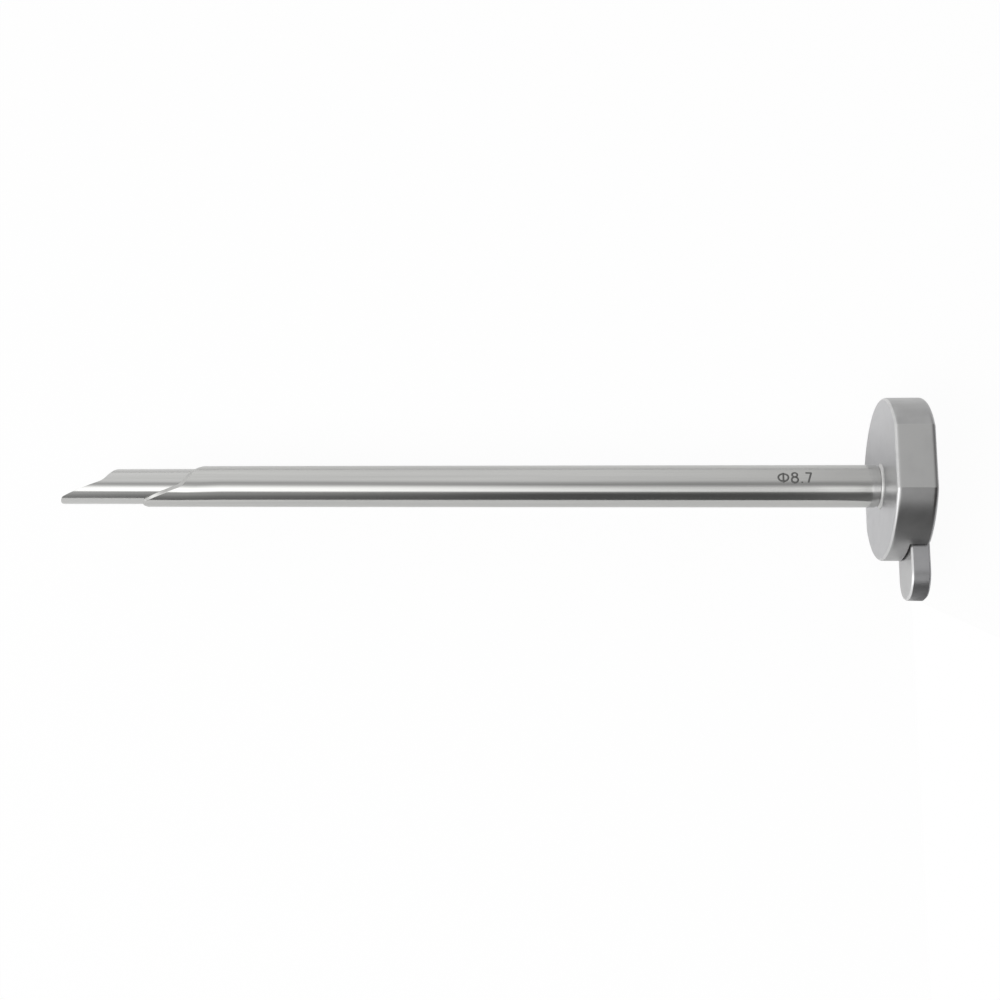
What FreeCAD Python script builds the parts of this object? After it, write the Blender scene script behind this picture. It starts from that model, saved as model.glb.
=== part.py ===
import FreeCAD, Part
import math
import os

from FreeCAD import Vector

# Two-part trephine cannula: a bevelled guide tube with a flatted hub, and a longer bevelled tube inside it
# that draws out to the rear by its finger tab. All sizes are in millimetres.
# The tubes' axis is X, with the tips towards -X and the hubs towards +X. The finger tab points to -Y.
# The hub's two flats face +Z and -Z. The origin is on the axis, in the plane of the outer hub's front face.

# Tubes
outer_tube_diameter = 8.7
outer_tube_wall = 0.5
tube_running_gap = 0.10         # radial play of the inner tube in the outer tube
inner_tube_wall = 0.45
outer_tube_reach = 154.3        # hub front face to the tip of the outer tongue
inner_tube_reach = 172.1        # hub front face to the tip of the inner tongue

# Tip bevels, seen from the side: a blunt nose, a long shallow run and a steeper back
nose_rise = 0.8
nose_angle = 44.0
run_angle = 19.8
back_angle = 55.0
outer_knee_height = -0.55       # height of the bend between run and back, above the axis
inner_knee_height = 0.35
nose_blend_radius = 1.5
knee_blend_radius = 3.0
outer_lip_chamfer_in = 0.31     # how much of the wall the lip's chamfer takes
outer_lip_chamfer_back = 0.8    # how far the lip's chamfer runs along the tube

# Outer hub
hub_diameter = 33.2
hub_across_flats = 30.6
hub_thickness = 8.0
hub_rise = 1.4                  # centre of the disc above the tubes' axis, away from the tab
hub_edge_chamfer = 0.5

# Inner hub, seated in the rear of the outer hub, flush with its rear face
inner_hub_diameter = 24.0
inner_hub_thickness = 3.75
inner_hub_gap = 0.3             # radial gap round the inner hub
inner_hub_edge_chamfer = 0.3
mouth_chamfer = 0.8             # lead-in round the mouth of the inner tube

# Finger tab, let into the rim of the inner hub
tab_width = 11.3
tab_thickness = 3.75
tab_reach = 23.7                # tubes' axis to the end of the tab
tab_corner_radius = 5.1
tab_edge_chamfer = 0.35
tab_seat_depth = 3.0            # how far the tab is let into the inner hub
tab_side_gap = 0.7              # between the tab and each side of the slot in the outer hub
tab_front_gap = 0.35            # between the tab and the slot's front wall

# Braze joints between tubes and hubs
braze_joint_gap = 0.02          # radial gap between a tube and the hub brazed to it
outer_seat_step = 0.2           # how much the outer tube is ground down where its hub is brazed on
outer_seat_lead = 0.2           # how far that ground seat shows in front of the braze
braze_leg_along = 0.9
braze_leg_out = 0.6
relief_gap = 0.5                # room round the inner fillet, in the outer hub

# Sizes that follow from those above
outer_radius = outer_tube_diameter / 2
outer_bore_radius = outer_radius - outer_tube_wall
outer_seat_radius = outer_radius - outer_seat_step
inner_radius = outer_bore_radius - tube_running_gap
inner_bore_radius = inner_radius - inner_tube_wall
hub_rear = hub_thickness
seat_plane = hub_rear - inner_hub_thickness
relief_floor = seat_plane - braze_leg_along - relief_gap
relief_radius = inner_radius + braze_leg_out + relief_gap
inner_hub_radius = inner_hub_diameter / 2
tab_root = inner_hub_radius - tab_seat_depth
tab_front = hub_rear - tab_thickness
beyond = 2.0                    # how far cutting shapes run past what they cut
same_place = 0.01               # edges nearer than this to a surface lie on it
full_turn = 360

ALONG = Vector(1, 0, 0)


def rod(radius, x_front, x_rear):
    """A solid round bar on the tubes' axis."""
    return Part.makeCylinder(radius, x_rear - x_front, Vector(x_front, 0, 0), ALONG)


def block(x_low, x_high, y_low, y_high, width):
    """A rectangular block centred on the XY plane."""
    return Part.makeBox(x_high - x_low, y_high - y_low, width, Vector(x_low, y_low, -width / 2))


def line(start, end):
    return Part.LineSegment(start, end).toShape()


def rounded_path(points, radii):
    """Straight runs through the points, with each inner corner rounded to its radius."""
    edges = []
    start = points[0]
    for before, corner, after, radius in zip(points, points[1:], points[2:], radii):
        back = (before - corner).normalize()
        ahead = (after - corner).normalize()
        half_angle = back.getAngle(ahead) / 2
        setback = radius / math.tan(half_angle)
        arc_start = corner + back * setback
        arc_end = corner + ahead * setback
        to_centre = (back + ahead).normalize()
        arc_middle = corner + to_centre * (radius / math.sin(half_angle) - radius)
        edges.append(line(start, arc_start))
        edges.append(Part.Arc(arc_start, arc_middle, arc_end).toShape())
        start = arc_end
    edges.append(line(start, points[-1]))
    return edges


def slope(rise, angle):
    """Length along X of a straight run that rises by this much at this angle."""
    return rise / math.tan(math.radians(angle))


def bevel_cutter(radius, tip, knee_height):
    """Everything in front of the S-shaped bevel that leaves a tongue on the tab's side of a tube."""
    nose = Vector(tip + slope(nose_rise, nose_angle), nose_rise - radius, 0)
    knee = Vector(nose.x + slope(knee_height - nose.y, run_angle), knee_height, 0)
    below = Vector(tip - slope(beyond, nose_angle), -radius - beyond, 0)
    above = Vector(knee.x + slope(radius + beyond - knee.y, back_angle), radius + beyond, 0)
    front = below.x - beyond
    edges = rounded_path([below, nose, knee, above], [nose_blend_radius, knee_blend_radius])
    edges.append(line(above, Vector(front, above.y, 0)))
    edges.append(line(Vector(front, above.y, 0), Vector(front, below.y, 0)))
    edges.append(line(Vector(front, below.y, 0), below))
    face = Part.Face(Part.Wire(edges))
    face.translate(Vector(0, 0, -radius - beyond))
    return face.extrude(Vector(0, 0, 2 * (radius + beyond)))


def lip_edges(shape, radius, behind):
    """The edges of the bevel that run along the outside of the tube."""
    found = []
    for edge in shape.Edges:
        box = edge.BoundBox
        if box.XMax > behind:
            continue
        middle = edge.valueAt((edge.FirstParameter + edge.LastParameter) / 2)
        if abs(math.hypot(middle.y, middle.z) - radius) < same_place:
            found.append(edge)
    return found


def outer_tube():
    seat_start = -braze_leg_along - outer_seat_lead
    tube = rod(outer_radius, -outer_tube_reach, seat_start)
    tube = tube.cut(bevel_cutter(outer_radius, -outer_tube_reach, outer_knee_height))
    lip = lip_edges(tube, outer_radius, -beyond)
    tube = tube.makeChamfer(outer_lip_chamfer_back, outer_lip_chamfer_in, lip)
    tube = tube.fuse(rod(outer_seat_radius, seat_start - beyond, relief_floor))
    return tube.cut(rod(outer_bore_radius, -outer_tube_reach - beyond, relief_floor + beyond))


def mouth_cone():
    """The lead-in cut round the rear mouth, through the tube's end and the hub beside it."""
    wide = inner_bore_radius + mouth_chamfer + beyond
    return Part.makeCone(inner_bore_radius, wide, mouth_chamfer + beyond,
                         Vector(hub_rear - mouth_chamfer, 0, 0), ALONG)


def inner_tube():
    tube = rod(inner_radius, -inner_tube_reach, hub_rear)
    tube = tube.cut(bevel_cutter(inner_radius, -inner_tube_reach, inner_knee_height))
    tube = tube.cut(rod(inner_bore_radius, -inner_tube_reach - beyond, hub_rear + beyond))
    return tube.cut(mouth_cone())


def chamfered_disc(radius, x_front, x_rear, front_chamfer, rear_chamfer, height=0.0):
    """A disc with both of its rims chamfered, its centre at the given height."""
    corners = [Vector(x_front, 0, 0), Vector(x_front, radius - front_chamfer, 0),
               Vector(x_front + front_chamfer, radius, 0), Vector(x_rear - rear_chamfer, radius, 0),
               Vector(x_rear, radius - rear_chamfer, 0), Vector(x_rear, 0, 0), Vector(x_front, 0, 0)]
    if front_chamfer == 0:
        del corners[2]
    disc = Part.Face(Part.makePolygon(corners)).revolve(Vector(0, 0, 0), ALONG, full_turn)
    disc.translate(Vector(0, height, 0))
    return disc


def flats_slab():
    """A slab between the hub's two flats, with the hub's chamfer along its four long edges."""
    half = hub_across_flats / 2
    inset = half - hub_edge_chamfer
    side = hub_diameter
    corners = [Vector(0, -side, -inset), Vector(hub_edge_chamfer, -side, -half),
               Vector(hub_rear - hub_edge_chamfer, -side, -half), Vector(hub_rear, -side, -inset),
               Vector(hub_rear, -side, inset), Vector(hub_rear - hub_edge_chamfer, -side, half),
               Vector(hub_edge_chamfer, -side, half), Vector(0, -side, inset), Vector(0, -side, -inset)]
    return Part.Face(Part.makePolygon(corners)).extrude(Vector(0, 2 * side, 0))


def tab_slot():
    """The slot that lets the finger tab out through the rim, open to the rear."""
    width = tab_width + 2 * tab_side_gap
    return block(tab_front - tab_front_gap, hub_rear + beyond, -hub_diameter, -tab_root + tab_front_gap, width)


def outer_hub():
    hub = chamfered_disc(hub_diameter / 2, 0, hub_rear, hub_edge_chamfer, hub_edge_chamfer, hub_rise)
    hub = hub.common(flats_slab())
    hub = hub.cut(rod(outer_seat_radius + braze_joint_gap, -beyond, hub_rear + beyond))
    hub = hub.cut(rod(relief_radius, relief_floor, hub_rear + beyond))
    hub = hub.cut(rod(inner_hub_radius + inner_hub_gap, seat_plane, hub_rear + beyond))
    return hub.cut(tab_slot())


def inner_hub():
    hub = chamfered_disc(inner_hub_radius, seat_plane, hub_rear, 0, inner_hub_edge_chamfer)
    hub = hub.cut(rod(inner_radius + braze_joint_gap, seat_plane - beyond, hub_rear + beyond))
    hub = hub.cut(mouth_cone())
    return hub.cut(block(tab_front, hub_rear + beyond, -inner_hub_diameter, -tab_root, tab_width))


def tab_outline(y_inner):
    """Outline of the tab in the YZ plane, at its front face: square at the root, round-cornered at the end."""
    half = tab_width / 2
    corners = [Vector(tab_front, y_inner, half), Vector(tab_front, -tab_reach, half),
               Vector(tab_front, -tab_reach, -half), Vector(tab_front, y_inner, -half)]
    edges = rounded_path(corners, [tab_corner_radius, tab_corner_radius])
    edges.append(line(corners[-1], corners[0]))
    return Part.Face(Part.Wire(edges))


def finger_tab():
    plate = tab_outline(-inner_hub_radius).extrude(Vector(tab_thickness, 0, 0))
    rims = []
    for edge in plate.Edges:
        box = edge.BoundBox
        across = box.XMax - box.XMin > tab_thickness / 2
        at_root = box.YMin > -inner_hub_radius - same_place
        if not across and not at_root:
            rims.append(edge)
    plate = plate.makeChamfer(tab_edge_chamfer, rims)
    root = block(tab_front, hub_rear, -inner_hub_radius, -tab_root, tab_width)
    return plate.fuse(root).removeSplitter()


def braze_ring(radius, x_face):
    """The fillet of braze metal where a tube of this radius leaves the face of its hub."""
    bottom = radius + braze_joint_gap
    heel = Vector(x_face, bottom, 0)
    toe = Vector(x_face - braze_leg_along, bottom, 0)
    top = Vector(x_face, bottom + braze_leg_out, 0)
    return Part.Face(Part.makePolygon([heel, toe, top, heel])).revolve(Vector(0, 0, 0), ALONG, full_turn)


def outer_braze_ring():
    return braze_ring(outer_seat_radius, 0)


def inner_braze_ring():
    return braze_ring(inner_radius, seat_plane)


PARTS = {
    "outer_tube": outer_tube,
    "outer_hub": outer_hub,
    "outer_braze_ring": outer_braze_ring,
    "inner_tube": inner_tube,
    "inner_hub": inner_hub,
    "finger_tab": finger_tab,
    "inner_braze_ring": inner_braze_ring,
}

os.makedirs("parts", exist_ok=True)
for name, make in PARTS.items():
    shape = make()
    shape.exportStep("parts/" + name + ".step")
    print(name, "solids", len(shape.Solids), "valid", shape.isValid(), "volume", round(shape.Volume, 2))
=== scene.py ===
# %% [markdown]
# # A trephine cannula, dressed for its picture
# The object is a guide for a surgical drill: a polished steel tube with a slanted mouth, fixed in a flatted
# steel disc, and a second, longer tube that runs inside it and is drawn out by a finger tab.
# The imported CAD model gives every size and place. This lesson loads it as a fixed frame, works out finer
# surfaces for the polished metal, gives each piece its finish, and sets up a plain bright studio.

import itertools
import math

import bmesh
import bpy
import numpy as np
from mathutils import Matrix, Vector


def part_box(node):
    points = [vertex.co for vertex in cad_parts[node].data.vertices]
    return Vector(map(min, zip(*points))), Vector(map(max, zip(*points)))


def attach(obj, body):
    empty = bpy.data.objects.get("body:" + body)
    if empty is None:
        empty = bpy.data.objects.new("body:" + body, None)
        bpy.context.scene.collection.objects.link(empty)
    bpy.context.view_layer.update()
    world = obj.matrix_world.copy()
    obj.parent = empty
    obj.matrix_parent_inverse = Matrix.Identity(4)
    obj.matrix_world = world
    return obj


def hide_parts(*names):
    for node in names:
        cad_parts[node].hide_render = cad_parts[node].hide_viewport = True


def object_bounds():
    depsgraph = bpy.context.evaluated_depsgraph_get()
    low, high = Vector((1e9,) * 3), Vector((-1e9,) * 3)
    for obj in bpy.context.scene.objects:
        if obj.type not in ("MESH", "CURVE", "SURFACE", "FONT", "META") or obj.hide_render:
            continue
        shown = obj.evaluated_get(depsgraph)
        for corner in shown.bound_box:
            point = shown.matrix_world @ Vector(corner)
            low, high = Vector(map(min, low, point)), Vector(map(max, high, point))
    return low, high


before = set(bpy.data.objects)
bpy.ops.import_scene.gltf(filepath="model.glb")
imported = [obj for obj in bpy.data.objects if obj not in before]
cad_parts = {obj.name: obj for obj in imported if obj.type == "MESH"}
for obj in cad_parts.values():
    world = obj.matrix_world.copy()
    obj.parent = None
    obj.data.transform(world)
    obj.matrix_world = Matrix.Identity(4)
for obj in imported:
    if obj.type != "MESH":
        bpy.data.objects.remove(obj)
cad_low, cad_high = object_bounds()
MM = 0.001
print("nodes", sorted(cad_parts))
print("CAD box in mm", [round(v / MM, 2) for v in cad_low], [round(v / MM, 2) for v in cad_high])

# %% [markdown]
# ## Where the camera stands
# The picture looks down on the instrument as it lies flat, almost straight from above and from a hand's
# breadth to the tab's side. A camera can be aimed with a constraint, but a constraint adds an object to
# look at. Three vectors are enough: forward, and the two that lie across the picture.

# %% The camera
camera_place = np.array([-55.85, -81.17, 257.6]) * MM
camera_target = np.array([-77.45, -20.13, 0.0]) * MM
camera_roll = math.radians(1.422)
camera_lens = 46.477
camera_sensor = 36.0
camera_shift_y = 0.08
camera_nearest = 10 * MM


def unit(vector):
    return vector / np.linalg.norm(vector)


def add_camera():
    """The lens looks along -Z of its own frame, so the frame's columns are right, up and backwards."""
    forward = unit(camera_target - camera_place)
    level_right = unit(np.cross(forward, [0.0, 1.0, 0.0]))
    level_up = np.cross(level_right, forward)
    right = math.cos(camera_roll) * level_right + math.sin(camera_roll) * level_up
    up = np.cross(right, forward)
    data = bpy.data.cameras.new("camera")
    data.sensor_width = camera_sensor
    data.lens = camera_lens
    data.shift_y = camera_shift_y
    data.clip_start = camera_nearest
    camera = bpy.data.objects.new("camera", data)
    placed = np.eye(4)
    placed[:3, 0] = right
    placed[:3, 1] = up
    placed[:3, 2] = -forward
    placed[:3, 3] = camera_place
    camera.matrix_world = Matrix(placed.tolist())
    bpy.context.scene.collection.objects.link(camera)
    bpy.context.scene.camera = camera
    return camera


camera = add_camera()
bpy.context.scene.view_settings.view_transform = "Standard"
print("camera at", [round(v / MM, 1) for v in camera.location], "mm")

# %% [markdown]
# ## From a grid of points to a skin
# Polished metal shows every facet, so the CAD node's flat triangles would spoil the reflections. Each piece
# is worked out again as a grid of points: columns run round the piece and rows run along its section.
# A section that ends where it starts gives a closed skin, like a ring doughnut, with no seam and no pole.
# The Screw modifier turns a section too, but can't bend it to a slanted mouth or make it follow a flat.

# %% Helpers that make a piece
def grid_faces(rows, columns, rows_close=True, columns_close=True):
    """Four-sided faces between neighbouring points of a grid that is numbered row by row."""
    here = np.arange(rows * columns).reshape(rows, columns)
    beside = np.roll(here, -1, axis=1)
    ahead = np.roll(here, -1, axis=0)
    across = np.roll(beside, -1, axis=0)
    faces = np.stack([here, beside, across, ahead], axis=-1)
    if not rows_close:
        faces = faces[:-1]
    if not columns_close:
        faces = faces[:, :-1]
    return faces.reshape(-1, 4)


def signed_volume(points, faces):
    """Every triangle and the origin make a pyramid. Faces that point inwards count as negative."""
    total = 0.0
    for face in faces:
        first = points[face[0]]
        rest = points[face[1:]]
        total += np.sum(np.cross(rest[:-1], rest[1:]) @ first)
    return total / 6


def merge_doubles(mesh):
    """Points at the same place become one, and faces with no area go."""
    work = bmesh.new()
    work.from_mesh(mesh)
    bmesh.ops.remove_doubles(work, verts=work.verts, dist=MM / 10000)
    work.to_mesh(mesh)
    work.free()


def add_piece(name, points, faces):
    """A closed mesh with its faces turned outwards, smooth to the eye."""
    faces = [list(face) for face in faces]
    volume = signed_volume(points, faces)
    if volume < 0:
        faces = [face[::-1] for face in faces]
    mesh = bpy.data.meshes.new(name)
    mesh.from_pydata(points.tolist(), [], faces)
    merge_doubles(mesh)
    mesh.shade_smooth()
    piece = bpy.data.objects.new(name, mesh)
    bpy.context.scene.collection.objects.link(piece)
    print(name, len(faces), "faces,", round(abs(volume) / MM ** 3, 1), "cubic mm")
    return piece


def settle(piece):
    """Turns what the modifiers make into the piece's own mesh."""
    bpy.context.view_layer.update()
    finished = piece.evaluated_get(bpy.context.evaluated_depsgraph_get())
    mesh = bpy.data.meshes.new_from_object(finished)
    piece.modifiers.clear()
    piece.data = mesh


sharp_angle = math.radians(15)


def break_edges(piece, width):
    """Deburring: each sharp edge becomes a narrow round, and the faces beside it stay flat to the eye."""
    bevel = piece.modifiers.new("broken_edges", "BEVEL")
    bevel.limit_method = "ANGLE"
    bevel.angle_limit = sharp_angle
    bevel.width = width
    bevel.segments = 2
    bevel.harden_normals = True
    settle(piece)


def cut_away(piece, cutter):
    """A saw cut: what lies inside the cutter goes, and so does the cutter."""
    saw = piece.modifiers.new("saw_cut", "BOOLEAN")
    saw.operation = "DIFFERENCE"
    saw.solver = "EXACT"
    saw.object = cutter
    settle(piece)
    bpy.data.objects.remove(cutter)


def rounds(x, radius, angle):
    """Points on circles round the tubes' axis: Y is radius times cosine of the angle, Z radius times sine."""
    x, radius, angle = np.broadcast_arrays(x, radius, angle)
    return np.stack([x, radius * np.cos(angle), radius * np.sin(angle)], axis=-1)

# %% [markdown]
# ## The slanted mouths
# Both tubes end in an S-shaped cut that leaves a tongue on the tab's side: a blunt nose, a long shallow run
# and a steeper back. Seen from the side the cut is one line, and every point of the mouth lies on that line
# at its own height. So the line is worked out once for each tube, as height against place along the tube.
# A Boolean cut would leave long thin triangles at the mouth, and polished metal shows them as creases.

# %% The side view of a mouth
outer_reach = 154.3 * MM
outer_knee_height = -0.55 * MM
inner_knee_height = 0.35 * MM
nose_blend = 1.5 * MM
knee_blend = 3.0 * MM
nose_rise = 0.8 * MM
nose_angle = math.radians(44)
run_angle = math.radians(19.8)
back_angle = math.radians(55)
bend_steps = 24


def bend(before, corner, after, radius):
    """An arc that touches both lines at a corner. Its centre lies on the line that halves the corner."""
    back = unit(before - corner)
    ahead = unit(after - corner)
    half = math.acos(np.dot(back, ahead)) / 2
    centre = corner + unit(back + ahead) * radius / math.sin(half)
    start = corner + back * radius / math.tan(half) - centre
    end = corner + ahead * radius / math.tan(half) - centre
    turn = math.pi - 2 * half
    part = np.linspace(0, 1, bend_steps)[:, None]
    return centre + (np.sin((1 - part) * turn) * start + np.sin(part * turn) * end) / math.sin(turn)


def mouth_line(tip, radius, knee_height):
    """Places and heights along the cut, from below the tongue to above the tube."""
    nose = np.array([tip + nose_rise / math.tan(nose_angle), nose_rise - radius])
    knee = np.array([nose[0] + (knee_height - nose[1]) / math.tan(run_angle), knee_height])
    below = nose - 2 * radius * np.array([math.cos(nose_angle), math.sin(nose_angle)])
    above = knee + 2 * radius * np.array([math.cos(back_angle), math.sin(back_angle)])
    return np.vstack([below, bend(below, nose, knee, nose_blend), bend(nose, knee, above, knee_blend), above])


def mouth_x(cut, height):
    return np.interp(height, cut[:, 1], cut[:, 0])


outer_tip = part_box("outer_hub")[0].x - outer_reach
inner_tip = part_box("inner_tube")[0].x
outer_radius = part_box("outer_tube")[1].z
inner_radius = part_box("inner_tube")[1].z
outer_cut = mouth_line(outer_tip, outer_radius, outer_knee_height)
inner_cut = mouth_line(inner_tip, inner_radius, inner_knee_height)
print("tube radii", round(outer_radius / MM, 3), round(inner_radius / MM, 3), "mm")
print("outer mouth", round((mouth_x(outer_cut, outer_radius) - outer_tip) / MM, 2), "mm long")
print("inner mouth", round((mouth_x(inner_cut, inner_radius) - inner_tip) / MM, 2), "mm long")

# %% [markdown]
# ## The tubes
# A tube's skin starts at its lip, runs along the outside, turns in at the rear and comes back through the
# bore. The outer tube's lip also has a long thin chamfer, so that it slides through tissue. A chamfer keeps
# the same distance from a curved lip all the way round: that distance is measured square to the lip, on the
# tube's skin for its outer edge, and on the cut face for its inner edge.

# %% The lip's chamfer
tube_columns = 224
around = np.linspace(0, 2 * math.pi, tube_columns, endpoint=False)
chamfer_back = 0.8 * MM
chamfer_in = 0.31 * MM
slope_reach = 0.02 * MM
print("lip chamfer", round(chamfer_back / MM, 2), "mm back and", round(chamfer_in / MM, 2), "mm in")


def cut_slope(cut, height):
    """How far the cut moves along the tube for each step up."""
    return (mouth_x(cut, height + slope_reach) - mouth_x(cut, height - slope_reach)) / (2 * slope_reach)


def chamfer_outer_edge(cut, radius):
    """On the tube's skin, laid flat: the lip's line moved square to itself, towards the rear."""
    height = radius * np.cos(around)
    climb = -cut_slope(cut, height) * np.sin(around)
    length = np.sqrt(1 + climb ** 2)
    x = mouth_x(cut, height) + chamfer_back / length
    angle = around - chamfer_back * climb / (length * radius)
    return x, angle


def chamfer_inner_edge(cut, radius):
    """On the cut face: the lip's line moved square to itself, towards the bore."""
    height = radius * np.cos(around)
    stretch = np.sqrt(1 + cut_slope(cut, height) ** 2)
    length = np.sqrt(np.cos(around) ** 2 + (stretch * np.sin(around)) ** 2)
    y = height - chamfer_in * np.cos(around) / (length * stretch)
    z = radius * np.sin(around) - chamfer_in * stretch * np.sin(around) / length
    return np.stack([mouth_x(cut, y), y, z], axis=-1)


# %% The outer tube
outer_wall = 0.5 * MM
outer_bore = outer_radius - outer_wall
seat_step = 0.2 * MM
seat_radius = outer_radius - seat_step
seat_start = -1.1 * MM
seat_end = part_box("outer_tube")[1].x
past_mouth = 18 * MM
outer_plain = outer_tip + past_mouth
easing = (0.0, 0.15, 0.4, 1.0)
tube_break = 0.04 * MM


def outer_tube_rows():
    """From the chamfer's outer edge back to its inner edge, with the ground seat at the rear."""
    lip_x, lip_angle = chamfer_outer_edge(outer_cut, outer_radius)
    rows = []
    for part in easing:
        x = lip_x + part * (outer_plain - lip_x)
        angle = lip_angle + part * (around - lip_angle)
        rows.append(rounds(x, outer_radius, angle))
    rows.append(rounds(seat_start, outer_radius, around))
    rows.append(rounds(seat_start, seat_radius, around))
    rows.append(rounds(seat_end, seat_radius, around))
    rows.append(rounds(seat_end, outer_bore, around))
    rows.append(rounds(outer_plain, outer_bore, around))
    rows.append(rounds(mouth_x(outer_cut, outer_bore * np.cos(around)), outer_bore, around))
    rows.append(chamfer_inner_edge(outer_cut, outer_radius))
    return np.array(rows)


def add_rows(name, rows):
    return add_piece(name, rows.reshape(-1, 3), grid_faces(*rows.shape[:2]))


outer_tube = add_rows("outer_tube_polished", outer_tube_rows())
break_edges(outer_tube, tube_break)

# %% The inner tube
inner_wall = 0.45 * MM
inner_bore = inner_radius - inner_wall
inner_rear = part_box("inner_hub")[1].x
mouth_chamfer = 0.8 * MM
inner_plain = inner_tip + past_mouth


def inner_tube_rows():
    """From the lip to the rear mouth, whose lead-in cone takes the whole wall, and back through the bore."""
    funnel_start = inner_rear - mouth_chamfer
    return np.array([
        rounds(mouth_x(inner_cut, inner_radius * np.cos(around)), inner_radius, around),
        rounds(inner_plain, inner_radius, around),
        rounds(funnel_start + inner_wall, inner_radius, around),
        rounds(funnel_start, inner_bore, around),
        rounds(inner_plain, inner_bore, around),
        rounds(mouth_x(inner_cut, inner_bore * np.cos(around)), inner_bore, around),
    ])


inner_tube = add_rows("inner_tube_polished", inner_tube_rows())
break_edges(inner_tube, tube_break)

# %% [markdown]
# ## The outer hub
# The hub is a disc with two flats, set off-centre from the tube. Its outline is worked out with the four
# corners between arc and flat pinned to fixed columns, so that they stay crisp at every inset. The section
# runs from the tube's bore through the counterbore at the rear, round the rim and over the front face.
# Polishing has rounded the rim's chamfers, the rear one more than the front one.
# The slot for the finger tab is sawn afterwards, because its straight walls don't follow the columns.

# %% The outline of a disc with two flats
hub_low, hub_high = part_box("outer_hub")
hub_radius = (hub_high.y - hub_low.y) / 2
hub_centre = (hub_high.y + hub_low.y) / 2
hub_half = hub_high.z
hub_rear = hub_high.x
arc_columns = 72
flat_columns = 24


def flatted_outline(inset):
    """Y and Z round the disc, moved in by the inset: an arc, a flat, an arc and a flat."""
    radius = hub_radius - inset
    half = hub_half - inset
    corner = math.asin(half / radius)
    swing = np.linspace(-corner, corner, arc_columns, endpoint=False)
    arc = np.stack([radius * np.cos(swing), radius * np.sin(swing)], axis=-1)
    reach = radius * math.cos(corner)
    along = np.linspace(reach, -reach, flat_columns, endpoint=False)
    flat = np.stack([along, np.full_like(along, half)], axis=-1)
    outline = np.vstack([arc, flat, -arc, -flat])
    outline[:, 0] += hub_centre
    return outline


def outline_row(x, inset):
    outline = flatted_outline(inset)
    return np.column_stack([np.full(len(outline), x), outline])


print("hub outline", len(flatted_outline(0.0)), "columns, radius", round(hub_radius / MM, 2), "mm")

# %% The hub's skin
front_round = 0.7 * MM
rear_round = 1.0 * MM
round_steps = 8
braze_gap = 0.02 * MM
hub_bore = seat_radius + braze_gap
relief_gap = 1.1 * MM
relief_radius = inner_radius + relief_gap
seat_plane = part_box("inner_hub")[0].x
inner_hub_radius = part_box("inner_hub")[1].z
counterbore_gap = 0.3 * MM
counterbore = inner_hub_radius + counterbore_gap
support = 0.25 * MM
hub_angle = np.arctan2(flatted_outline(0.0)[:, 1], flatted_outline(0.0)[:, 0])


def rounded_rim(face_x, radius, into):
    """Rows of a quarter round from a face to the rim. The way into the hub is 1 in front and -1 behind."""
    rows = []
    for turn in np.linspace(0, math.pi / 2, round_steps + 1):
        x = face_x + into * radius * (1 - math.cos(turn))
        rows.append(outline_row(x, radius * (1 - math.sin(turn))))
    return rows


def outer_hub_rows():
    """Bore, relief, counterbore, rear face, rim and front face. Rows beside a round keep the faces flat."""
    rows = [
        rounds(0.0, hub_bore, hub_angle),
        rounds(seat_end, hub_bore, hub_angle),
        rounds(seat_end, relief_radius, hub_angle),
        rounds(seat_plane, relief_radius, hub_angle),
        rounds(seat_plane, counterbore, hub_angle),
        rounds(hub_rear, counterbore, hub_angle),
        outline_row(hub_rear, rear_round + support),
    ]
    rows += rounded_rim(hub_rear, rear_round, -1)
    rows.append(outline_row(hub_rear - rear_round - support, 0.0))
    rows.append(outline_row(front_round + support, 0.0))
    rows += rounded_rim(0.0, front_round, 1)[::-1]
    rows.append(outline_row(0.0, front_round + support))
    return np.array(rows)


def block(name, low, high):
    """A plain block between two corners, used as a saw blade."""
    corners = np.array(list(itertools.product(*zip(low, high))))
    faces = [(0, 1, 3, 2), (4, 6, 7, 5), (0, 4, 5, 1), (2, 3, 7, 6), (0, 2, 6, 4), (1, 5, 7, 3)]
    return add_piece(name, corners, faces)


tab_low, tab_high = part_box("finger_tab")
slot_side_gap = 0.7 * MM
slot_front_gap = 0.35 * MM
slot_root_gap = 0.5 * MM
slot_half = tab_high.z + slot_side_gap
slot_front = tab_low.x - slot_front_gap
slot_root = tab_high.y + slot_root_gap
past = 5 * MM
hub_break = 0.07 * MM
outer_hub = add_rows("outer_hub_satin", outer_hub_rows())
cut_away(outer_hub, block("tab_slot", (slot_front, hub_low.y - past, -slot_half),
                          (hub_rear + past, slot_root, slot_half)))
break_edges(outer_hub, hub_break)

# %% [markdown]
# ## The inner hub and the finger tab
# The plate that carries the inner tube seats in the counterbore, flush with the rear face. The tab is let
# into a notch in its rim. A Bevel modifier would chamfer the tab's edges all round. They are chamfered only
# where a finger meets them, so its outline is drawn twice, once moved in, and the two agree at the root.

# %% The inner hub
inner_hub_chamfer = 0.3 * MM
disc_columns = 180
disc_angle = np.linspace(0, 2 * math.pi, disc_columns, endpoint=False)


def inner_hub_rows():
    """Bore, lead-in cone, rear face with its chamfered rim, and the front face that seats."""
    bore = inner_radius + braze_gap
    cone_edge = inner_bore + mouth_chamfer
    return np.array([
        rounds(seat_plane, bore, disc_angle),
        rounds(inner_rear - mouth_chamfer + bore - inner_bore, bore, disc_angle),
        rounds(inner_rear, cone_edge, disc_angle),
        rounds(inner_rear, inner_hub_radius - inner_hub_chamfer, disc_angle),
        rounds(inner_rear - inner_hub_chamfer, inner_hub_radius, disc_angle),
        rounds(seat_plane, inner_hub_radius, disc_angle),
    ])


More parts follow.
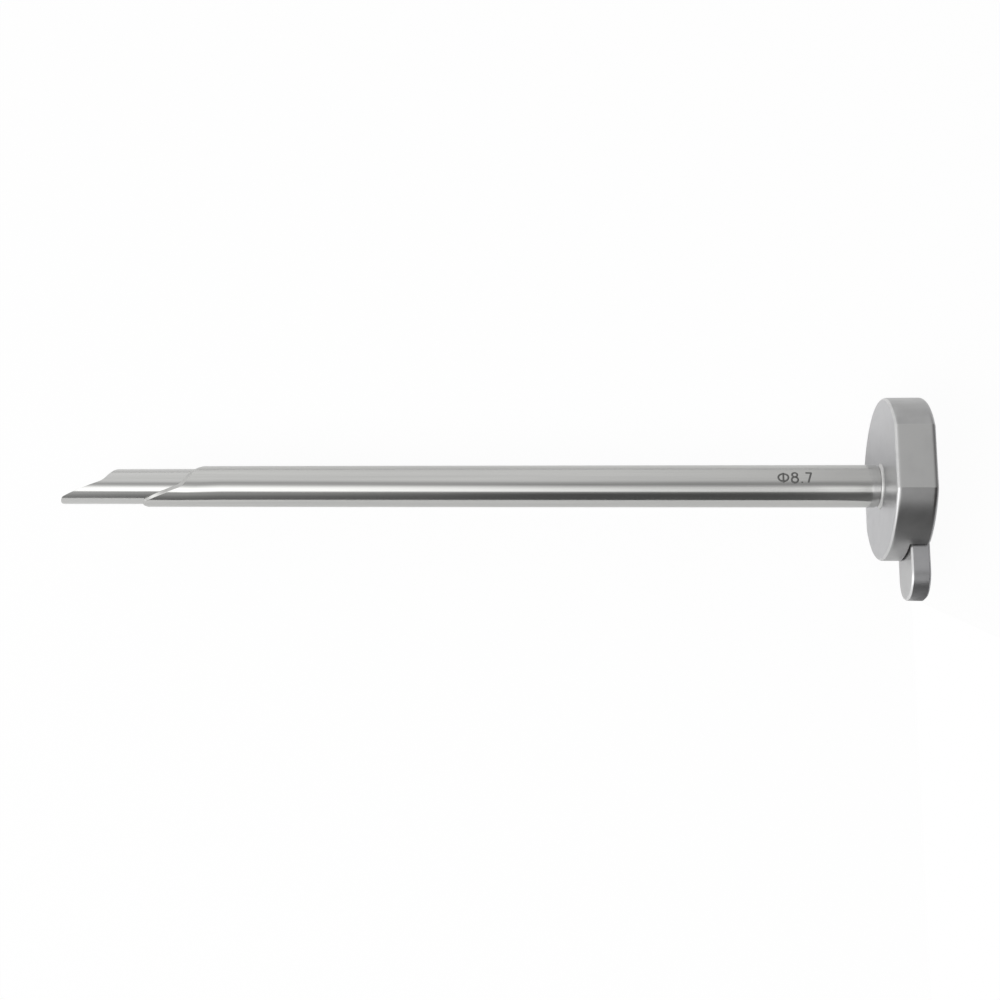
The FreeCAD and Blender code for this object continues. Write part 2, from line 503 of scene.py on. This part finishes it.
inner_hub = add_rows("inner_hub_satin", inner_hub_rows())
cut_away(inner_hub, block("tab_notch", (seat_plane - past, -inner_hub_radius - past, tab_low.z),
                          (inner_rear + past, tab_high.y, tab_high.z)))
break_edges(inner_hub, hub_break)

# %% The finger tab
tab_chamfer = 0.35 * MM
tab_corner = 5.1 * MM
tab_side_steps = 8
tab_corner_steps = 24


def tab_outline(inset):
    """Y and Z round the tab, from the root along a side, round the end and back. The root isn't moved in."""
    half = tab_high.z
    root = [(tab_high.y, half), (-inner_hub_radius, half)]
    corner_y = tab_low.y + tab_corner
    side = np.linspace(-inner_hub_radius, corner_y, tab_side_steps, endpoint=False)
    side = np.column_stack([side, np.full_like(side, half - inset)])
    swing = np.linspace(0, math.pi / 2, tab_corner_steps)
    radius = tab_corner - inset
    corner = np.column_stack([corner_y - radius * np.sin(swing), half - tab_corner + radius * np.cos(swing)])
    upper = np.vstack([root, side, corner])
    lower = upper[::-1] * [1, -1]
    return np.vstack([upper, lower])


def add_finger_tab():
    """Two faces joined by chamfers and a side wall. Each face is one flat polygon."""
    rows = []
    for x, inset in ((tab_low.x, tab_chamfer), (tab_low.x + tab_chamfer, 0.0),
                     (tab_high.x - tab_chamfer, 0.0), (tab_high.x, tab_chamfer)):
        outline = tab_outline(inset)
        place = np.full(len(outline), x)
        rows.append(np.column_stack([place, outline]))
    rows = np.array(rows)
    count = rows.shape[1]
    faces = [list(face) for face in grid_faces(4, count, rows_close=False)]
    faces.append(list(range(count))[::-1])
    faces.append(list(range(3 * count, 4 * count)))
    return add_piece("finger_tab_satin", rows.reshape(-1, 3), faces)


finger_tab = add_finger_tab()
break_edges(finger_tab, hub_break)

# %% [markdown]
# ## The braze rings
# Where each tube leaves its hub, braze metal has crept into the corner and set as a small hollow fillet.
# The CAD ring is a plain cone there. Here its surface dips as liquid metal does, inside the same cone.
# A torus is quicker to add, but it bulges where braze is hollow.

# %% The braze rings
braze_along = 0.6 * MM
braze_out = 0.55 * MM
braze_dip = 0.12 * MM
braze_steps = 7


def add_braze_ring(name, tube_radius, x_face):
    """From the toe on the tube up to the hub's face along a shallow hollow, and back under the ring."""
    bottom = tube_radius + braze_gap
    part = np.linspace(0, 1, braze_steps)
    dip = braze_dip * np.sin(part * math.pi)
    steep = math.hypot(braze_along, braze_out)
    x = x_face - braze_along * (1 - part) + dip * braze_out / steep
    radius = bottom + braze_out * part - dip * braze_along / steep
    rows = [rounds(x[k], radius[k], disc_angle) for k in range(braze_steps)]
    rows.append(rounds(x_face, bottom, disc_angle))
    return add_rows(name, np.array(rows))


outer_ring = add_braze_ring("outer_braze_fillet", seat_radius, 0.0)
inner_ring = add_braze_ring("inner_braze_fillet", inner_radius, seat_plane)

# %% [markdown]
# ## The diameter mark
# The tube's outside diameter is marked on its upper side near the hub, as on most such sleeves. A laser
# leaves thin dark lines in the skin. Blender's own text has strokes of one fixed weight and would have to be
# wrapped round the tube, so each stroke is a narrow ribbon along a drawn line: a ring, a bar or a bent bar.
# The lines are drawn in parts of the mark's height, and each says whether it closes on itself.

# %% The strokes of the mark
mark_start = -21.2 * MM
mark_angle = math.radians(7.0)
mark_height = 2.45 * MM
mark_middle = 0.5
stroke_width = 0.38 * MM
stroke_proud = 0.006 * MM
stroke_depth = 0.02 * MM
ring_points = 48
bar_points = 12


def oval(across, up, half_across, half_up):
    turn = np.linspace(0, 2 * math.pi, ring_points, endpoint=False)
    return np.column_stack([across + half_across * np.cos(turn), up + half_up * np.sin(turn)])


def bar(*corners):
    """Straight runs through the corners, with points between them so that the bar can follow the tube."""
    corners = np.array(corners)
    place = np.linspace(0, len(corners) - 1, (len(corners) - 1) * bar_points + 1)
    known = np.arange(len(corners))
    return np.column_stack([np.interp(place, known, corners[:, 0]), np.interp(place, known, corners[:, 1])])


def ribbon(path, closes):
    """Four rows along a line on the tube, one at each corner of the stroke's thin section."""
    ahead = np.roll(path, -1, axis=0) - path if closes else np.gradient(path, axis=0)
    behind = path - np.roll(path, 1, axis=0) if closes else ahead
    along = ahead + behind
    along = along / np.linalg.norm(along, axis=1)[:, None]
    side = np.column_stack([-along[:, 1], along[:, 0]]) * stroke_width / 2
    rows = []
    for offset, radius in ((side, outer_radius + stroke_proud), (-side, outer_radius + stroke_proud),
                           (-side, outer_radius - stroke_depth), (side, outer_radius - stroke_depth)):
        flat = path * mark_height + offset
        angle = math.pi / 2 - mark_angle - flat[:, 1] / outer_radius
        rows.append(rounds(mark_start + flat[:, 0], radius, angle))
    return np.array(rows)


strokes = [
    (oval(0.48, 0.5, 0.41, 0.33), True),
    (bar((0.48, 0.05), (0.48, 0.95)), False),
    (oval(1.41, 0.74, 0.21, 0.20), True),
    (oval(1.41, 0.29, 0.26, 0.24), True),
    (bar((1.99, 0.03), (1.99, 0.13)), False),
    (bar((2.30, 0.93), (2.76, 0.93), (2.50, 0.05)), False),
]


def add_size_mark():
    """The strokes as one mesh: closed ribbons for the rings, and ribbons with two end faces for the bars."""
    points = []
    faces = []
    count = 0
    for path, closes in strokes:
        rows = ribbon(path - [0.0, mark_middle], closes)
        length = rows.shape[1]
        part = grid_faces(4, length, columns_close=closes)
        ends = [] if closes else [[0, length, 2 * length, 3 * length], [k * length - 1 for k in (4, 3, 2, 1)]]
        faces += (part + count).tolist() + [[corner + count for corner in end] for end in ends]
        points.append(rows.reshape(-1, 3))
        count += 4 * length
    return add_piece("size_mark", np.vstack(points), faces)


size_mark = add_size_mark()

# %% [markdown]
# ## Who rides on what
# The instrument has two bodies: the outer cannula, and the inner one that draws out of it. Every piece says
# which body carries it, which CAD node it stands for and which finish of the record it has. The mark stands
# for no node, so it only rides. Each piece is parented to an empty for its body, and the CAD node it stands
# for is hidden.

# %% Bodies, nodes and finishes
carried = [
    (outer_tube, "outer_cannula", "outer_tube_steel", "outer_tube"),
    (outer_hub, "outer_cannula", "hub_steel", "outer_hub"),
    (outer_ring, "outer_cannula", "braze", "outer_braze_ring"),
    (size_mark, "outer_cannula", "outer_tube_steel", None),
    (inner_tube, "inner_cannula", "inner_tube_steel", "inner_tube"),
    (inner_hub, "inner_cannula", "inner_hub_steel", "inner_hub"),
    (finger_tab, "inner_cannula", "tab_steel", "finger_tab"),
    (inner_ring, "inner_cannula", "braze", "inner_braze_ring"),
]
for piece, body, finish, node in carried:
    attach(piece, body)
    if node:
        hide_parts(node)

# %% [markdown]
# ## Shared effects
# Three effects turn up in more than one finish, so each is a node group: the fine grain that a polishing
# belt leaves along a tube, the even pitting of blasted steel, and the cloudy film that handling leaves.
# A group gives only a mask or a height. The shader that uses it stays in the material. A picture of brushed
# steel would show where it repeats, and noise worked out in the piece's own space doesn't.

# %% Helpers for nodes
def link(tree, source, target):
    tree.links.new(source, target)


def math_node(tree, operation, *values):
    """A Math node. Numbers are written in its sockets and sockets are linked to them."""
    node = tree.nodes.new("ShaderNodeMath")
    node.operation = operation
    for socket, value in zip(node.inputs, values):
        if isinstance(value, bpy.types.NodeSocket):
            link(tree, value, socket)
        else:
            socket.default_value = value
    return node.outputs[0]


def noise(tree, along, across, detail=2.0):
    """Noise in the piece's own space, whose spots are this long along X and this wide across it."""
    place = tree.nodes.new("ShaderNodeTexCoord")
    mapping = tree.nodes.new("ShaderNodeMapping")
    mapping.inputs["Scale"].default_value = (1 / along, 1 / across, 1 / across)
    link(tree, place.outputs["Object"], mapping.inputs["Vector"])
    node = tree.nodes.new("ShaderNodeTexNoise")
    node.inputs["Scale"].default_value = 1.0
    node.inputs["Detail"].default_value = detail
    link(tree, mapping.outputs["Vector"], node.inputs["Vector"])
    return node.outputs["Fac"]


noise_low = 0.3
noise_high = 0.7


def spread(tree, value, low=noise_low, high=noise_high, to_low=0.0, to_high=1.0):
    """Map Range: carries low..high to to_low..to_high and holds it at the ends."""
    node = tree.nodes.new("ShaderNodeMapRange")
    for name, number in (("From Min", low), ("From Max", high), ("To Min", to_low), ("To Max", to_high)):
        node.inputs[name].default_value = number
    link(tree, value, node.inputs["Value"])
    return node.outputs["Result"]


def new_group(name, outputs):
    tree = bpy.data.node_groups.new(name, "ShaderNodeTree")
    for output in outputs:
        tree.interface.new_socket(output, in_out="OUTPUT", socket_type="NodeSocketFloat")
    return tree, tree.nodes.new("NodeGroupOutput")


# %% The polishing grain, the blasted pitting and the handling film
scratch_long = 25 * MM
scratch_wide = 0.12 * MM
pass_long = 60 * MM
pass_wide = 1.1 * MM
pit_size = 0.16 * MM
patch_size = 3.5 * MM
cloud_long = 9 * MM
cloud_wide = 5 * MM
cloud_start = 0.35
fine_detail = 3.0


def grain_group():
    """Long thin streaks: one noise for single scratches, and a broader one for the belt's passes."""
    tree, out = new_group("belt_grain", ["Scratches", "Passes"])
    link(tree, noise(tree, scratch_long, scratch_wide), out.inputs["Scratches"])
    link(tree, noise(tree, pass_long, pass_wide), out.inputs["Passes"])
    return tree


def blast_group():
    """Small round pits close together, and broad patches where the blast was a little stronger."""
    tree, out = new_group("bead_blast", ["Pits", "Patches"])
    link(tree, noise(tree, pit_size, pit_size, fine_detail), out.inputs["Pits"])
    link(tree, noise(tree, patch_size, patch_size), out.inputs["Patches"])
    return tree


def film_group():
    """Soft clouds, a few millimetres across, where fingers and cloths have been."""
    tree, out = new_group("handling_film", ["Film"])
    clouds = noise(tree, cloud_long, cloud_wide, fine_detail)
    link(tree, spread(tree, clouds, cloud_start), out.inputs["Film"])
    return tree


groups = {"grain": grain_group(), "blast": blast_group(), "film": film_group()}
print("node groups", [group.name for group in groups.values()])


# %% Helpers for finishes
def new_finish(name, metallic=1.0):
    material = bpy.data.materials.new(name)
    material.use_nodes = True
    tree = material.node_tree
    shader = tree.nodes["Principled BSDF"]
    shader.inputs["Metallic"].default_value = metallic
    return material, tree, shader


def use_group(tree, name):
    node = tree.nodes.new("ShaderNodeGroup")
    node.node_tree = groups[name]
    return node.outputs


def blend_colours(tree, mask, colour, painted):
    """The linked colour where the mask is 0 and the painted one where it is 1."""
    node = tree.nodes.new("ShaderNodeMix")
    node.data_type = "RGBA"
    by_name = {socket.identifier: socket for socket in node.inputs}
    link(tree, mask, by_name["Factor_Float"])
    link(tree, colour, by_name["A_Color"])
    by_name["B_Color"].default_value = (*painted, 1.0)
    return [socket for socket in node.outputs if socket.identifier == "Result_Color"][0]


def two_tones(tree, mask, dark, light):
    """A colour that goes from dark to light as the mask goes from 0 to 1."""
    ramp = tree.nodes.new("ShaderNodeValToRGB")
    ramp.color_ramp.elements[0].color = (*dark, 1.0)
    ramp.color_ramp.elements[1].color = (*light, 1.0)
    link(tree, mask, ramp.inputs["Fac"])
    return ramp.outputs["Color"]


def raise_surface(tree, shader, height, distance):
    bump = tree.nodes.new("ShaderNodeBump")
    bump.inputs["Distance"].default_value = distance
    link(tree, height, bump.inputs["Height"])
    link(tree, bump.outputs["Normal"], shader.inputs["Normal"])


def wear(piece, material):
    piece.data.materials.clear()
    piece.data.materials.append(material)
    print(piece.name, "wears", material.name)

# %% [markdown]
# ## The finishes
# All of it is stainless steel, so every finish is metallic and differs in how it was worked. Cut and rubbed
# edges look different from the faces beside them: the lips of the tubes are ground matt, the chamfers of the
# hub and the tab are worn bright, their front faces are faced off finer than their sides, and the hub's two
# flats are milled into its turned rim. Such a face is known by how far its normal points towards the tips, or
# up or down. Every face keeps 1 or 0 for that, and the finishes read it.

# %% Which faces lean, face the tips or are flats
hub_lean = 0.3
lip_lean = 0.1
full_part = 0.95
past_one = 1.1


def face_normals(piece):
    normals = np.empty(len(piece.data.polygons) * 3)
    piece.data.polygons.foreach_get("normal", normals)
    return normals.reshape(-1, 3)


def mark_faces(piece, name, part, least, most):
    """Stores 1 on each face where the given part of its normal lies between the two limits."""
    chosen = ((part > least) & (part < most)).astype(np.float32)
    attribute = piece.data.attributes.new(name, "FLOAT", "FACE")
    attribute.data.foreach_set("value", chosen)
    print(piece.name, int(chosen.sum()), "of", len(part), "faces", name)


for piece in (outer_hub, inner_hub, finger_tab):
    mark_faces(piece, "leaning", -face_normals(piece)[:, 0], hub_lean, full_part)
    mark_faces(piece, "faced", -face_normals(piece)[:, 0], full_part, past_one)
for piece in (outer_tube, inner_tube):
    mark_faces(piece, "leaning", -face_normals(piece)[:, 0], lip_lean, full_part)
mark_faces(outer_hub, "milled", np.abs(face_normals(outer_hub)[:, 2]), full_part, past_one)


def face_mask(tree, name):
    node = tree.nodes.new("ShaderNodeAttribute")
    node.attribute_name = name
    return node.outputs["Fac"]

# %% [markdown]
# The tubes are belt-polished along their length, which leaves fine scratches and broader faint passes. The
# shader can stretch its reflections by itself, but the scratches also have to be seen from close by, so they
# move the colour, the gloss and the height. The belt doesn't reach the ground lips, which stay duller.

# %% Polished tubes
pass_share = 0.6
scratch_share = 0.4
scratch_spread = (0.3, 0.75, 0.09, 0.14)
scratch_height = 0.0006 * MM
lip_dulling = 0.18
film_dulling = 0.04


def polished_steel(name, dark, light):
    """Faint streaks in the colour, fine scratches in the gloss and the height, and duller ground lips."""
    material, tree, shader = new_finish(name)
    grain = use_group(tree, "grain")
    film = use_group(tree, "film")["Film"]
    scratches = math_node(tree, "MULTIPLY", grain["Scratches"], scratch_share)
    streaks = math_node(tree, "MULTIPLY_ADD", grain["Passes"], pass_share, scratches)
    link(tree, two_tones(tree, spread(tree, streaks), dark, light), shader.inputs["Base Color"])
    dulled = math_node(tree, "MULTIPLY", film, film_dulling)
    scratched = spread(tree, grain["Scratches"], *scratch_spread)
    ground = math_node(tree, "MULTIPLY", face_mask(tree, "leaning"), lip_dulling)
    dulled = math_node(tree, "ADD", dulled, ground)
    link(tree, math_node(tree, "ADD", scratched, dulled), shader.inputs["Roughness"])
    raise_surface(tree, shader, grain["Scratches"], scratch_height)
    return material


wear(outer_tube, polished_steel("outer_tube_polish", (0.50, 0.50, 0.49), (0.57, 0.57, 0.555)))
wear(inner_tube, polished_steel("inner_tube_polish", (0.51, 0.51, 0.50), (0.59, 0.59, 0.58)))

# %% [markdown]
# The hub and the tab are blasted with glass beads, which leaves a soft even satin. Their front faces and the
# hub's flats were ground or milled before that and stay lighter. On their chamfers, where hands and trays
# rub, the satin is worn bright. Each of these kinds of face has its own colour. A material for each would
# do too, but then the clouds and pits of the satin would have to be made to meet along every edge.

# %% Satin hubs and tab
patch_spread = (0.2, 0.5, 0.75, 1.0)
pit_swing = 0.03
pit_height = 0.004 * MM
rub_gloss = 0.06


def satin_steel(name, dark, light, by_face, roughness):
    """The blasted colours all over, and the colour of each marked kind of face painted over them."""
    material, tree, shader = new_finish(name)
    blast = use_group(tree, "blast")
    film = use_group(tree, "film")["Film"]
    patches = spread(tree, blast["Patches"], *patch_spread)
    satin = two_tones(tree, spread(tree, blast["Patches"]), dark, light)
    for mark, colour in by_face.items():
        marked = math_node(tree, "MULTIPLY", face_mask(tree, mark), patches)
        satin = blend_colours(tree, marked, satin, colour)
    link(tree, satin, shader.inputs["Base Color"])
    rubbed = math_node(tree, "MULTIPLY", face_mask(tree, "leaning"), patches)
    gloss = math_node(tree, "MULTIPLY", rubbed, rub_gloss)
    dull = spread(tree, blast["Pits"], to_low=roughness - pit_swing, to_high=roughness + pit_swing)
    dull = math_node(tree, "ADD", dull, math_node(tree, "MULTIPLY", film, film_dulling))
    link(tree, math_node(tree, "SUBTRACT", dull, gloss), shader.inputs["Roughness"])
    raise_surface(tree, shader, blast["Pits"], pit_height)
    return material


hub_dark = (0.43, 0.43, 0.43)
hub_light = (0.49, 0.49, 0.49)
hub_faces = {"milled": (0.545, 0.545, 0.54), "faced": (0.595, 0.595, 0.605), "leaning": (0.69, 0.69, 0.69)}
wear(outer_hub, satin_steel("hub_satin", hub_dark, hub_light, hub_faces, 0.32))
plate_dark = (0.52, 0.52, 0.525)
plate_light = (0.57, 0.57, 0.575)
plate_faces = {"faced": (0.62, 0.62, 0.63), "leaning": (0.72, 0.72, 0.72)}
wear(inner_hub, satin_steel("inner_hub_satin", plate_dark, plate_light, plate_faces, 0.30))
# The tab's blasted colour is set darker than the plate's. Part of that is painted shade, standing for the
# hub's shade over the tab's sides where it enters the slot.
tab_dark_partly_painted_shade = (0.45, 0.45, 0.46)
tab_light_partly_painted_shade = (0.50, 0.50, 0.51)
tab_faces = {"faced": (0.615, 0.615, 0.615), "leaning": (0.78, 0.78, 0.78)}
wear(finger_tab, satin_steel("tab_satin", tab_dark_partly_painted_shade, tab_light_partly_painted_shade, tab_faces, 0.34))

# %% [markdown]
# Braze metal is brighter than the steel and sets with a fine ripple. The laser mark is a dark oxide: not
# metallic to the eye, a little uneven, and slightly lighter where a pulse fell short. Both are one noise
# that moves the colour, the roughness and the height together, so one function makes them.

# %% Braze and laser mark
ripple_long = 0.5 * MM
ripple_wide = 1.2 * MM
ripple_height = 0.01 * MM
pulse_size = 0.08 * MM
pulse_height = 0.002 * MM


def uneven_finish(name, metallic, spots, dark, light, shiny, dull, height):
    """One noise, with spots of this length and width, moves the colour, the roughness and the height."""
    material, tree, shader = new_finish(name, metallic)
    uneven = noise(tree, *spots)
    link(tree, two_tones(tree, spread(tree, uneven), dark, light), shader.inputs["Base Color"])
    link(tree, spread(tree, uneven, to_low=shiny, to_high=dull), shader.inputs["Roughness"])
    raise_surface(tree, shader, uneven, height)
    return material


braze = uneven_finish("braze_bright", 1.0, (ripple_long, ripple_wide),
                      (0.57, 0.57, 0.565), (0.65, 0.65, 0.64), 0.26, 0.36, ripple_height)
laser = uneven_finish("laser_mark", 0.0, (pulse_size, pulse_size),
                      (0.06, 0.06, 0.06), (0.14, 0.14, 0.135), 0.45, 0.6, pulse_height)
wear(outer_ring, braze)
wear(inner_ring, braze)
wear(size_mark, laser)

# %% [markdown]
# ## The studio
# The instrument lies on its hub's lower flat, on a white sheet. The sheet is lit like anything else, so it
# keeps a soft shadow, and a share of its white is its own, shown only to the camera and in reflections.
# It ends just below the picture, and a wedge is cut out of it beside the hub and the tab. Metal shows what
# lies beyond: the dark room.

# %% The white sheet
sheet_left = -1000 * MM
sheet_right = 1000 * MM
sheet_near = -112 * MM
sheet_far = 1000 * MM
wedge_left = 8.8 * MM
wedge_right = 200 * MM
wedge_tip = -20 * MM
sheet_drop = 0.02 * MM
fibre_size = 1.5 * MM
fibre_tones = (0.90, 0.91)
sheet_roughness = 0.9
sheet_own_seen = 0.95
sheet_own_mirrored = 0.02


def own_white(tree):
    """The share of plain white for rays from the camera, for rays that metal sends on, and for no others."""
    path = tree.nodes.new("ShaderNodeLightPath")
    mirrored = math_node(tree, "MAXIMUM", path.outputs["Is Glossy Ray"], path.outputs["Is Transmission Ray"])
    mirrored = math_node(tree, "MULTIPLY", mirrored, sheet_own_mirrored)
    seen = math_node(tree, "MULTIPLY", path.outputs["Is Camera Ray"], sheet_own_seen)
    return math_node(tree, "ADD", seen, mirrored)


def sheet_finish():
    """Paper white under the lamp, mixed with a plain white of strength 1 for the background rays."""
    material, tree, shader = new_finish("white_sheet", 0.0)
    fibres = noise(tree, fibre_size, fibre_size)
    darker, paler = [(tone, tone, tone) for tone in fibre_tones]
    link(tree, two_tones(tree, fibres, darker, paler), shader.inputs["Base Color"])
    shader.inputs["Roughness"].default_value = sheet_roughness
    shader.inputs["Specular IOR Level"].default_value = 0.0
    own = tree.nodes.new("ShaderNodeEmission")
    own.inputs["Strength"].default_value = 1.0
    own.inputs["Color"].default_value = (1.0, 1.0, 1.0, 1.0)
    mix = tree.nodes.new("ShaderNodeMixShader")
    link(tree, own_white(tree), mix.inputs["Fac"])
    link(tree, shader.outputs["BSDF"], mix.inputs[1])
    link(tree, own.outputs["Emission"], mix.inputs[2])
    link(tree, mix.outputs["Shader"], tree.nodes["Material Output"].inputs["Surface"])
    return material


def add_sheet():
    height = cad_low.z - sheet_drop
    outline = [(sheet_left, sheet_near), (wedge_left, sheet_near), (wedge_left, wedge_tip),
               (wedge_right, sheet_near), (sheet_right, sheet_near), (sheet_right, sheet_far),
               (sheet_left, sheet_far)]
    mesh = bpy.data.meshes.new("white_sheet")
    mesh.from_pydata([(x, y, height) for x, y in outline], [], [range(len(outline))])
    sheet = bpy.data.objects.new("white_sheet", mesh)
    bpy.context.scene.collection.objects.link(sheet)
    return sheet


wear(add_sheet(), sheet_finish())

# %% [markdown]
# A soft lamp stands at the tab's side, out beyond the tips. It lights the sheet, and throws the tube's soft
# shadow and the hub's away from the tab. The satin front face shows that shadow above the tube. A lamp can be
# kept out of reflections, which leaves the metal to the room around it.

# %% The soft lamp
lamp_place = np.array([-0.35, -0.35, 0.55])
lamp_target = np.array([-0.08, 0.0, 0.0])
lamp_side = 0.3
lamp_power = 1.75


def add_lamp():
    """An area lamp shines along -Z of its own frame, so that axis is laid along the line to the target."""
    data = bpy.data.lights.new("soft_lamp", "AREA")
    data.size = lamp_side
    data.energy = lamp_power
    lamp = bpy.data.objects.new("soft_lamp", data)
    back = unit(lamp_place - lamp_target)
    right = unit(np.cross([0.0, 1.0, 0.0], back))
    placed = np.eye(4)
    placed[:3, 0] = right
    placed[:3, 1] = np.cross(back, right)
    placed[:3, 2] = back
    placed[:3, 3] = lamp_place
    lamp.matrix_world = Matrix(placed.tolist())
    lamp.visible_glossy = False
    bpy.context.scene.collection.objects.link(lamp)


add_lamp()
print("soft lamp", lamp_power, "W,", round(float(np.linalg.norm(lamp_place - lamp_target)), 2), "m away")

# %% [markdown]
# The metal shows the room. Polished tubes show it as stripes: a dark side towards the tab, a long window
# above it, a dim gap and a pale ceiling. The room is worked out from the direction that a ray leaves in. Its
# angle round the tubes' axis picks the stripe, and its lean along them picks one of seven views of the room:
# ahead of the tips, over the tips, over the middle, over the mark, over the tube's root, over the hub and
# behind the hub. The window is bright over the tips and over the tube's root, dimmer over the mark between
# them, and ends before the hub. A real room would be modelled or photographed, but a few stripes say all
# that a plain tube can show of it.

# %% The room
view_leans = (-0.9, -0.35, -0.05, 0.155, 0.18, 0.215, 0.75)
room_stripes = {
    0: (1.6, 0.22, 0.12, 0.12, 0.20, 0.24, 0.16),
    14: (1.6, 0.32, 0.10, 0.12, 0.22, 0.14, 0.10),
    28: (1.6, 0.50, 0.12, 0.12, 0.28, 0.04, 0.05),
    39: (1.6, 0.52, 0.34, 0.18, 0.50, 0.04, 0.05),
    45: (1.5, 2.10, 1.55, 0.92, 1.90, 0.04, 0.05),
    62: (1.4, 2.10, 1.25, 0.92, 2.20, 0.05, 0.06),
    80: (1.2, 0.78, 0.40, 0.40, 0.65, 0.15, 0.10),
    91: (1.1, 0.52, 0.56, 0.42, 0.46, 0.45, 0.15),
    99: (1.0, 0.72, 0.84, 0.60, 0.54, 0.62, 0.20),
    108: (0.9, 0.97, 0.92, 0.78, 0.64, 0.72, 0.25),
    180: (0.8, 0.97, 0.97, 0.80, 0.68, 0.72, 0.25),
}
brightest = 2.5
half_turn = 180


def stripe_ramp(tree, share, levels):
    """A colour ramp over half a turn, from the tab's horizon over the top, as parts of the brightest."""
    ramp = tree.nodes.new("ShaderNodeValToRGB")
    elements = ramp.color_ramp.elements
    for angle in list(room_stripes)[1:-1]:
        elements.new(angle / half_turn)
    for element, level in zip(elements, levels):
        grey = level / brightest
        element.color = (grey, grey, grey, 1.0)
    link(tree, share, ramp.inputs["Fac"])
    return ramp.outputs["Color"]


def mixed(tree, factor, first, second):
    """first where the factor is 0 and second where it is 1."""
    step = math_node(tree, "SUBTRACT", second, first)
    return math_node(tree, "ADD", first, math_node(tree, "MULTIPLY", step, factor))


def room_light():
    """The room's radiance by direction. The camera itself sees plain white behind the sheet."""
    world = bpy.data.worlds.new("room")
    bpy.context.scene.world = world
    world.use_nodes = True
    tree = world.node_tree
    place = tree.nodes.new("ShaderNodeTexCoord")
    parts = tree.nodes.new("ShaderNodeSeparateXYZ")
    link(tree, place.outputs["Generated"], parts.inputs["Vector"])
    lean = parts.outputs["X"]
    toward_tab = math_node(tree, "MULTIPLY", parts.outputs["Y"], -1.0)
    angle = math_node(tree, "ARCTAN2", parts.outputs["Z"], toward_tab)
    share = math_node(tree, "DIVIDE", angle, math.pi)
    views = [stripe_ramp(tree, share, levels) for levels in zip(*room_stripes.values())]
    seen = views[0]
    for view, low, high in zip(views[1:], view_leans, view_leans[1:]):
        seen = mixed(tree, spread(tree, lean, low, high), seen, view)
    room = math_node(tree, "MULTIPLY", seen, brightest)
    background = tree.nodes["Background"]
    background.inputs["Color"].default_value = (1.0, 1.0, 1.0, 1.0)
    link(tree, room, background.inputs["Strength"])
    white = tree.nodes.new("ShaderNodeBackground")
    white.inputs["Color"].default_value = (1.0, 1.0, 1.0, 1.0)
    white.inputs["Strength"].default_value = 1.0
    path = tree.nodes.new("ShaderNodeLightPath")
    mix = tree.nodes.new("ShaderNodeMixShader")
    link(tree, path.outputs["Is Camera Ray"], mix.inputs["Fac"])
    link(tree, background.outputs["Background"], mix.inputs[1])
    link(tree, white.outputs["Background"], mix.inputs[2])
    link(tree, mix.outputs["Shader"], tree.nodes["World Output"].inputs["Surface"])


room_light()
print("room stripes", len(room_stripes))
